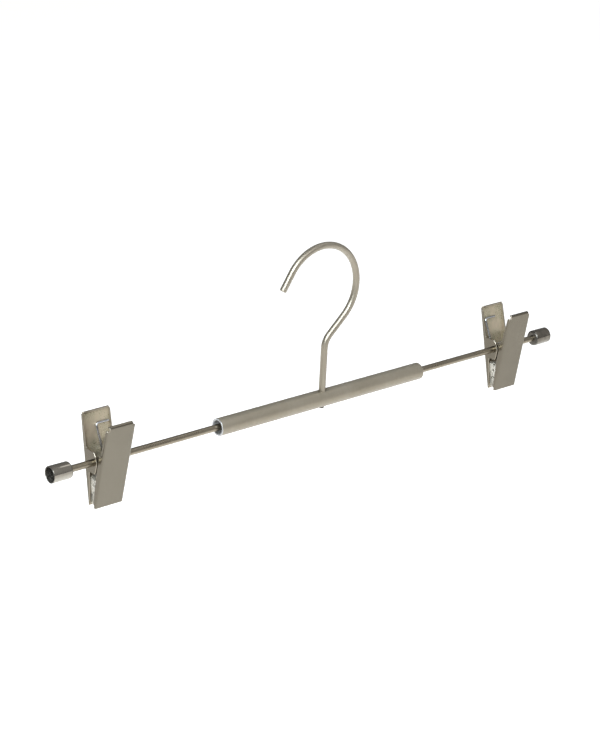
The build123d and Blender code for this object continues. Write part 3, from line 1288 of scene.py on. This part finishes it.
    def leaned(self, points: np.ndarray) -> np.ndarray:
        """Lean the upright jaw out at the top, and turn it to face its own side.

        Args:
            points: Points of the upright jaw.

        Returns:
            The same points where they stand in the clip.
        """
        cosine, sine = math.cos(math.radians(self.lean)), math.sin(math.radians(self.lean))
        x, y, z = points.T
        out = (y * cosine + z * sine) * self.facing.value
        return np.stack([x, out, z * cosine - y * sine], axis=-1)

    def mesh(self, name: str) -> bpy.types.Mesh:
        """Press, bore and finish the jaw.

        Args:
            name: Name of the piece.

        Returns:
            The finished mesh.
        """
        skin, counts = self.pressed()
        # The inner face takes the lighter inside finish, which paints bounce light between the jaws.
        finishes = (Finish.SATIN, Finish.EDGE, Finish.INSIDE)
        mesh = skin.mesh(name, *finishes, sharp_angle=180.0)
        # The cut edges and the bore's walls take the lighter edge finish, which is in part a painted
        # highlight.
        order = [finishes.index(face) for face in (Finish.SATIN, Finish.INSIDE, Finish.EDGE)]
        pick_finish(mesh, np.repeat(order, counts))
        bore = pin(self.bore, -self.drill_reach, self.drill_reach, self.bore_around)
        return Bench(mesh).drill(Skin().add_rings(bore)).flatten().settled()


@dataclass
class Clip:
    """Sprung clip: two pressed jaws round the rod, a wire spring and two ribbed pads."""

    side: Side
    place: Place
    open_lip: float = 20.0
    seat_gap: float = 0.05
    wire: float = 1.2
    wire_round: float = 0.12
    wire_around: int = 28
    coil_inner: float = 4.6
    turns: int = 3
    turn_steps: int = 72
    coil_gap: float = 0.55
    start_share: float = 0.08
    arm_height: float = 18.5
    arm_bend: float = 1.6
    arm_splay: float = 1.0
    crossbar: float = 8.2
    bar_steps: int = 12
    arm_bend_steps: int = 14
    arm_steps: int = 30
    coil_side_gap: float = 0.35
    blend_reach: float = 2.6
    pad_top: float = 10.0
    pad_bottom: float = 24.8
    pad_ribs: tuple[float, float] = (3.7, 3.6)
    pad_round: float = 0.3
    pad_end_round: float = 0.25
    rib_round: float = 1.5
    groove_width: float = 0.9
    groove_depth: float = 1.9
    strip: float = 0.9
    slot_web: float = 0.6
    slot_foot: float = 1.7
    pad_side_gap: float = 0.3
    pad_face_gap: float = 0.2
    pad_sharp_angle: float = 50.0
    pad_steps: int = 5
    slot_steps: int = 3

    def spring_path(self) -> tuple[np.ndarray, np.ndarray]:
        """Centre line of the spring and a side direction for each of its points.

        The coil is a helix round the rod: at angle a the wire is at (x, r cos a, r sin a), and x
        grows evenly but for a short start and end, where it takes the arms' slope. Each arm
        leaves the coil along its tangent, bends and ends in a crossbar along the jaw's plate.

        Returns:
            The points, and the side directions.
        """
        radius = (self.coil_inner + self.wire) / 2
        lean = math.radians(Jaw.lean)
        out = Jaw.rod_reach - Jaw.sheet - self.seat_gap - self.wire / 2
        bar_y = out * math.cos(lean) + self.arm_height * math.sin(lean)
        bar_z = self.arm_height * math.cos(lean) - out * math.sin(lean)
        reach = math.hypot(bar_y, bar_z)
        arm_lean = math.atan2(bar_y, bar_z) - math.asin(radius / reach)
        wrap = self.turns * TURN + math.pi - 2 * arm_lean
        long = (self.wire + self.coil_gap) * wrap / TURN
        room = Jaw.width / 2 - Jaw.sheet - FRONT_EAR.step - self.coil_side_gap - self.wire / 2
        coil_start = room - long if self.side is Side.LEFT else -room
        arm_rise = self.arm_splay * radius / math.sqrt(reach**2 - radius**2)
        share = np.linspace(0, 1, self.turn_steps * self.turns)
        part = self.start_share
        even = (long - part * arm_rise * wrap) / ((1 - part) * wrap)
        rise = np.interp(share, [0, part, 1 - part, 1], [arm_rise, even, even, arm_rise])
        x = np.concatenate(([0.0], np.cumsum((rise[1:] + rise[:-1]) / 2)))
        x = coil_start + x * long / x[-1]
        around = circle(-arm_lean - wrap * share)
        coil = np.concatenate([x[:, None], radius * around], axis=1)
        coil_side = np.concatenate([np.zeros((len(x), 1)), around], axis=1)
        first, first_side = self.arm(coil[0], bar_y, bar_z, 1.0)
        last, last_side = self.arm(coil[-1], -bar_y, bar_z, -1.0)
        path = np.concatenate([first, coil, last[::-1]])
        return path, np.concatenate([first_side, coil_side, last_side[::-1]])

    def arm(
        self, foot: np.ndarray, bar_y: float, bar_z: float, way: float
    ) -> tuple[np.ndarray, np.ndarray]:
        """Crossbar, bend and straight arm down to the coil.

        The bend is an arc that touches the crossbar and the arm at the same distance from the
        corner where their lines meet. With its turn f and its ends s and e, seen from its
        middle, it runs through (s sin(f - a) + e sin a) / sin f for angles a from 0 to f.

        Args:
            foot: End of the coil.
            bar_y: Where the crossbar lies along Y.
            bar_z: Where the crossbar lies along Z.
            way: 1 where the crossbar points along X, -1 where it points back.

        Returns:
            Points from the crossbar's end to just before the foot, and their side directions.
        """
        corner = np.array([foot[0] - way * self.arm_splay, bar_y, bar_z])
        across = np.array([way, 0.0, 0.0])
        down = unit(foot - corner)
        half = math.acos(float(across @ down)) / 2
        radius = self.arm_bend * math.tan(half)
        middle = corner + unit(across + down) * radius / math.sin(half)
        start = corner + across * self.arm_bend
        end = corner + down * self.arm_bend
        full = math.pi - 2 * half
        sweep = np.linspace(0, full, self.arm_bend_steps, endpoint=False)[:, None]
        bend = (start - middle) * np.sin(full - sweep) + (end - middle) * np.sin(sweep)
        points = np.concatenate(
            [
                straight(corner + across * self.crossbar, start, self.bar_steps),
                middle + bend / math.sin(full),
                straight(end, foot, self.arm_steps),
            ]
        )
        side = unit(np.cross(across, down)) * way
        return points, np.repeat(side[None, :], len(points), axis=0)

    def spring(self) -> None:
        """Wind the spring as one wire, with an arm reaching up to each jaw."""
        path, side = self.spring_path()
        end = rim(self.wire / 2, self.wire_round)
        name = self.side.label
        skin = Skin().add_rings(swept(path, side, end, end, self.wire_around))
        mesh = skin.mesh(f"{name}_wound_spring", Finish.ZINC)
        piece = shown(mesh, self.place, f"{name}_spring")
        rear_end = self.place.matrix() @ Vector((0.0, self.blend_reach, 0.0))
        front_end = self.place.matrix() @ Vector((0.0, -self.blend_reach, 0.0))
        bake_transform(piece)

    def plate_inside(self, z: float) -> float:
        """Distance from the clip's middle plane to the inside of the shut jaw at height z.

        Args:
            z: The height, from the rod's axis.

        Returns:
            The distance.
        """
        lean = math.radians(Jaw.lean)
        seat = (Jaw.rod_reach - Jaw.sheet - self.seat_gap) / math.cos(lean)
        return seat + z * math.tan(lean)

    def pad_outlines(self) -> tuple[np.ndarray, np.ndarray]:
        """Outline of a pad with its ribs and grooves, and of the slot behind its lower strip.

        Returns:
            The pad's outline and the slot's outline, as rows of y and z.
        """
        face, small = self.pad_face_gap / 2, self.pad_round
        corners = [
            (self.plate_inside(-self.pad_top), -self.pad_top, small),
            (face, -self.pad_top, self.rib_round),
        ]
        depth = self.pad_top
        for rib in self.pad_ribs:
            depth += rib
            floor = -depth - self.groove_width / 2
            corners.append((face, -depth, self.rib_round))
            corners.append((face + self.groove_depth, floor, small))
            corners.append((face, -depth - self.groove_width, self.rib_round))
            depth += self.groove_width
        corners[-1] = (face, -depth, small)
        corners.append((face, -self.pad_bottom, small))
        corners.append((self.plate_inside(-self.pad_bottom), -self.pad_bottom, small))
        foot = self.slot_foot - self.pad_bottom
        slot = [
            (face + self.strip, -depth, small),
            (face + self.strip, foot, small),
            (self.plate_inside(foot) - self.slot_web, foot, small),
            (self.plate_inside(-depth) - self.slot_web, -depth, small),
        ]
        return rounded(corners, self.pad_steps), rounded(slot, self.slot_steps)

    def pad(self, facing: Facing) -> Skin:
        """Ribbed pad with rounded long edges and a slot right through it.

        The outline is carried from one end to the other. Near each end it shrinks along its own
        normals, and the slot's outline grows, by a quarter circle's height.

        Args:
            facing: The jaw that it sits on.

        Returns:
            The pad's skin.
        """
        half = Jaw.width / 2 - Jaw.sheet - self.pad_side_gap
        angle = np.linspace(math.pi / 2, 0, RIM_STEPS + 1)
        inset, from_end = self.pad_end_round * (1 - circle(angle)).T
        inset = np.concatenate([inset, inset[::-1]])[:, None, None]
        across = np.concatenate([from_end - half, half - from_end[::-1]])[:, None, None]
        shells = []
        for outline, grows in zip(self.pad_outlines(), (-1, 1)):
            after, before = np.roll(outline, -1, axis=0), np.roll(outline, 1, axis=0)
            along = unit(after - before)
            area = np.sum(outline[:, 0] * after[:, 1] - after[:, 0] * outline[:, 1])
            normal = np.stack([along[:, 1], -along[:, 0]], axis=-1)
            flat = outline + normal * math.copysign(1.0, area) * grows * inset
            x = np.repeat(across, len(outline), axis=1)
            shells.append(np.concatenate([x, flat * np.array([facing.value, 1.0])], axis=-1))
        return self.close_pad(*shells)

    def close_pad(self, outer: np.ndarray, slot: np.ndarray) -> Skin:
        """Join the pad's outer skin and its slot with a flat face at each end.

        Args:
            outer: Rings of the outer skin.
            slot: Rings of the slot.

        Returns:
            The pad's skin.
        """
        fill = np.array(tessellate_polygon([[Vector(p) for p in ring[0]] for ring in (outer, slot)]))
        rows, outer_count, _ = outer.shape
        slot_count = slot.shape[1]
        slot_base = rows * outer_count
        on_outer = fill < outer_count
        first = np.where(on_outer, fill, fill - outer_count + slot_base)
        last = first + (rows - 1) * np.where(on_outer, outer_count, slot_count)
        faces = [
            base + bands(rows - 1, count, count).reshape(-1, 4)
            for base, count in ((0, outer_count), (slot_base, slot_count))
        ]
        points = np.concatenate([outer.reshape(-1, 3), slot.reshape(-1, 3)])
        return Skin().add(points, [*faces, first, last[:, ::-1]])

    def jaws(self) -> tuple[Jaw, Jaw]:
        """Rear and front jaw. On the left clip the front jaw's lip stands open.

        Returns:
            The two jaws.
        """
        lip_rise = self.open_lip if self.side is Side.LEFT else 0.0
        rear = Jaw(Facing.REAR, REAR_EAR, notch_height=0.8, notch_inset=0.85)
        front = Jaw(Facing.FRONT, FRONT_EAR, notch_height=1.6, notch_inset=1.5, lip_rise=lip_rise)
        return rear, front

    def build(self) -> None:
        """Make and finish the clip's pieces."""
        self.spring()
        for jaw in self.jaws():
            name = f"{self.side.label}_{jaw.facing.label}"
            body = f"{self.side.label}_clip_{jaw.facing.label}"
            plate = jaw.mesh(f"{name}_pressed_jaw")
            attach(shown(plate, self.place, f"{name}_jaw"), body)
            skin = self.pad(jaw.facing)
            pad = skin.mesh(
                f"{name}_ribbed_pad", Finish.VINYL, sharp_angle=self.pad_sharp_angle
            )
            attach(shown(pad, self.place, f"{name}_pad"), body)


# The studio


@dataclass(frozen=True)
class Lamp:
    """Soft square lamp, with its place and size in metres and its spread in degrees."""

    name: str
    toward: Triple
    size: float
    watts: float
    spread: float = 180.0
    colour: Triple = (1.0, 1.0, 1.0)

    def hang(self) -> None:
        """Hang the lamp so that it faces the hanger."""
        data = bpy.data.lights.new(self.name, "AREA")
        data.shape = "SQUARE"
        data.size = self.size
        data.energy = self.watts
        data.spread = math.radians(self.spread)
        data.color = self.colour
        lamp = linked(self.name, data)
        lamp.location = self.toward
        lamp.rotation_mode = "QUATERNION"
        lamp.rotation_quaternion = (-Vector(self.toward)).to_track_quat("-Z", "Y")


@dataclass
class Studio:
    """Plain pale floor, soft lamps and the camera."""

    yaw: float = 40.894
    down: float = 22.198
    roll: float = 2.912
    distance: float = 1143.35
    aim: Triple = (-6.71, 12.03, 11.52)
    lens: float = 120.24
    sensor: float = 36.0
    clip: tuple[float, float] = (0.01, 50.0)
    floor_depth: float = 620.0
    floor_half: float = 12000.0
    floor_colour: Triple = (0.9, 0.9, 0.9)
    floor_light: Triple = (1.0, 0.99, 0.97)
    floor_glow: float = 0.74
    floor_rough: float = 0.9
    sky_way: Triple = (0.6, -0.5, 0.62)
    sky_stops: tuple[float, ...] = (0.3, 0.5, 0.68, 0.79, 0.9, 1.0)
    sky_greys: tuple[float, ...] = (0.07, 0.2, 0.28, 0.32, 0.36, 0.45)
    lamps: tuple[Lamp, ...] = (
        Lamp("key lamp", (-0.95, -0.66, 0.95), 1.4, 9.0, spread=55.0, colour=(0.84, 0.93, 1.0)),
        Lamp("fill lamp", (0.1, -1.2, 1.3), 0.8, 4.0),
        Lamp("top lamp", (0.7, -0.05, 1.1), 0.35, 0.4),
    )

    def camera(self, place: Place) -> None:
        """Stand the camera where the photograph was taken from.

        Its forward, level and upright directions come from yaw and downward tilt, and the last
        two are then rolled about the forward one.

        Args:
            place: Where the hanger's zero stands.
        """
        yaw, down, roll = (math.radians(angle) for angle in (self.yaw, self.down, self.roll))
        ahead = math.cos(down)
        forward = Vector((math.sin(yaw) * ahead, math.cos(yaw) * ahead, -math.sin(down)))
        level = Vector((math.cos(yaw), -math.sin(yaw), 0.0))
        upright = level.cross(forward)
        right = level * math.cos(roll) + upright * math.sin(roll)
        top = upright * math.cos(roll) - level * math.sin(roll)
        data = bpy.data.cameras.new("camera")
        data.sensor_fit = "HORIZONTAL"
        data.sensor_width = self.sensor
        data.lens = self.lens
        data.clip_start, data.clip_end = self.clip
        camera = linked("camera", data)
        zero = Vector((place.x, 0.0, place.z))
        stand = (zero + Vector(self.aim) - forward * self.distance) * METRE
        turn = Matrix((right, top, -forward)).transposed().to_4x4()
        camera.matrix_world = Matrix.Translation(stand) @ turn
        bpy.context.scene.camera = camera

    def floor(self) -> None:
        """Lay a plain pale floor below the hanger."""
        half = self.floor_half * METRE
        depth = -self.floor_depth * METRE
        mesh = bpy.data.meshes.new("floor")
        corners = [(-half, -half), (half, -half), (half, half), (-half, half)]
        mesh.from_pydata([(x, y, depth) for x, y in corners], [], [(0, 1, 2, 3)])
        nodes = Coat("pale floor")
        nodes.feed(
            nodes.shader,
            Base_Color=(*self.floor_colour, 1.0),
            Emission_Color=(*self.floor_light, 1.0),
            Emission_Strength=self.floor_glow,
            Roughness=self.floor_rough,
        )
        mesh.materials.append(nodes.material)
        linked("floor", mesh)

    def sky(self) -> None:
        """Surround the hanger with a soft grey room, lightest up in front of it."""
        world = bpy.data.worlds.new("studio room")
        bpy.context.scene.world = world
        nodes = Nodes(world, "Generated")
        toward = nodes.add("ShaderNodeVectorMath")
        toward.operation = "DOT_PRODUCT"
        toward.inputs[1].default_value = Vector(self.sky_way).normalized()
        nodes.tree.links.new(nodes.place, toward.inputs[0])
        share = nodes.spread(toward.outputs["Value"], 0.0, 1.0, -1.0, 1.0)
        greys = [(grey, grey, grey) for grey in self.sky_greys]
        glow = nodes.ramp(share, list(zip(self.sky_stops, greys)))
        background = nodes.add("ShaderNodeBackground", Color=glow)
        nodes.add("ShaderNodeOutputWorld", Surface=background.outputs["Background"])

    def build(self, place: Place) -> None:
        """Set up floor, room, lamps, camera and plain colours.

        Args:
            place: Where the hanger's zero stands.
        """
        self.floor()
        self.sky()
        for lamp in self.lamps:
            lamp.hang()
        self.camera(place)
        settings = bpy.context.scene.view_settings
        settings.view_transform = "Standard"
        settings.look = "None"


# The whole hanger


@dataclass
class TrouserHanger:
    """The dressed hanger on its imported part."""

    left_swing: float = 1.7
    right_swing: float = -2.5

    def place(self) -> Place:
        """Find the rod's axis under the hook's shank, which is the middle of the centre tube.

        Returns:
            The hanger's place.
        """
        low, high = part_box("centre_tube")
        middle = (low + high) / 2 / METRE
        return Place(middle.x, middle.z)

    def clip(self, side: Side, swing: float) -> Clip:
        """Clip on the rod's axis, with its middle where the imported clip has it."""
        low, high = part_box(f"{side.label}_rear_jaw")
        return Clip(side, Place((low.x + high.x) / 2 / METRE, self.place().z, swing))

    def build(self) -> None:
        """Build and finish every piece."""
        Hook().build(self.place())
        Bar().build(self.place())
        for side, swing in ((Side.LEFT, self.left_swing), (Side.RIGHT, self.right_swing)):
            self.clip(side, swing).build()


def main() -> None:
    """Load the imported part, dress it and set up the studio."""
    logging.basicConfig(level=logging.INFO, format="%(name)s: %(message)s")
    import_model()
    hanger = TrouserHanger()
    hanger.build()
    Studio().build(hanger.place())


if __name__ == "__main__":
    main()
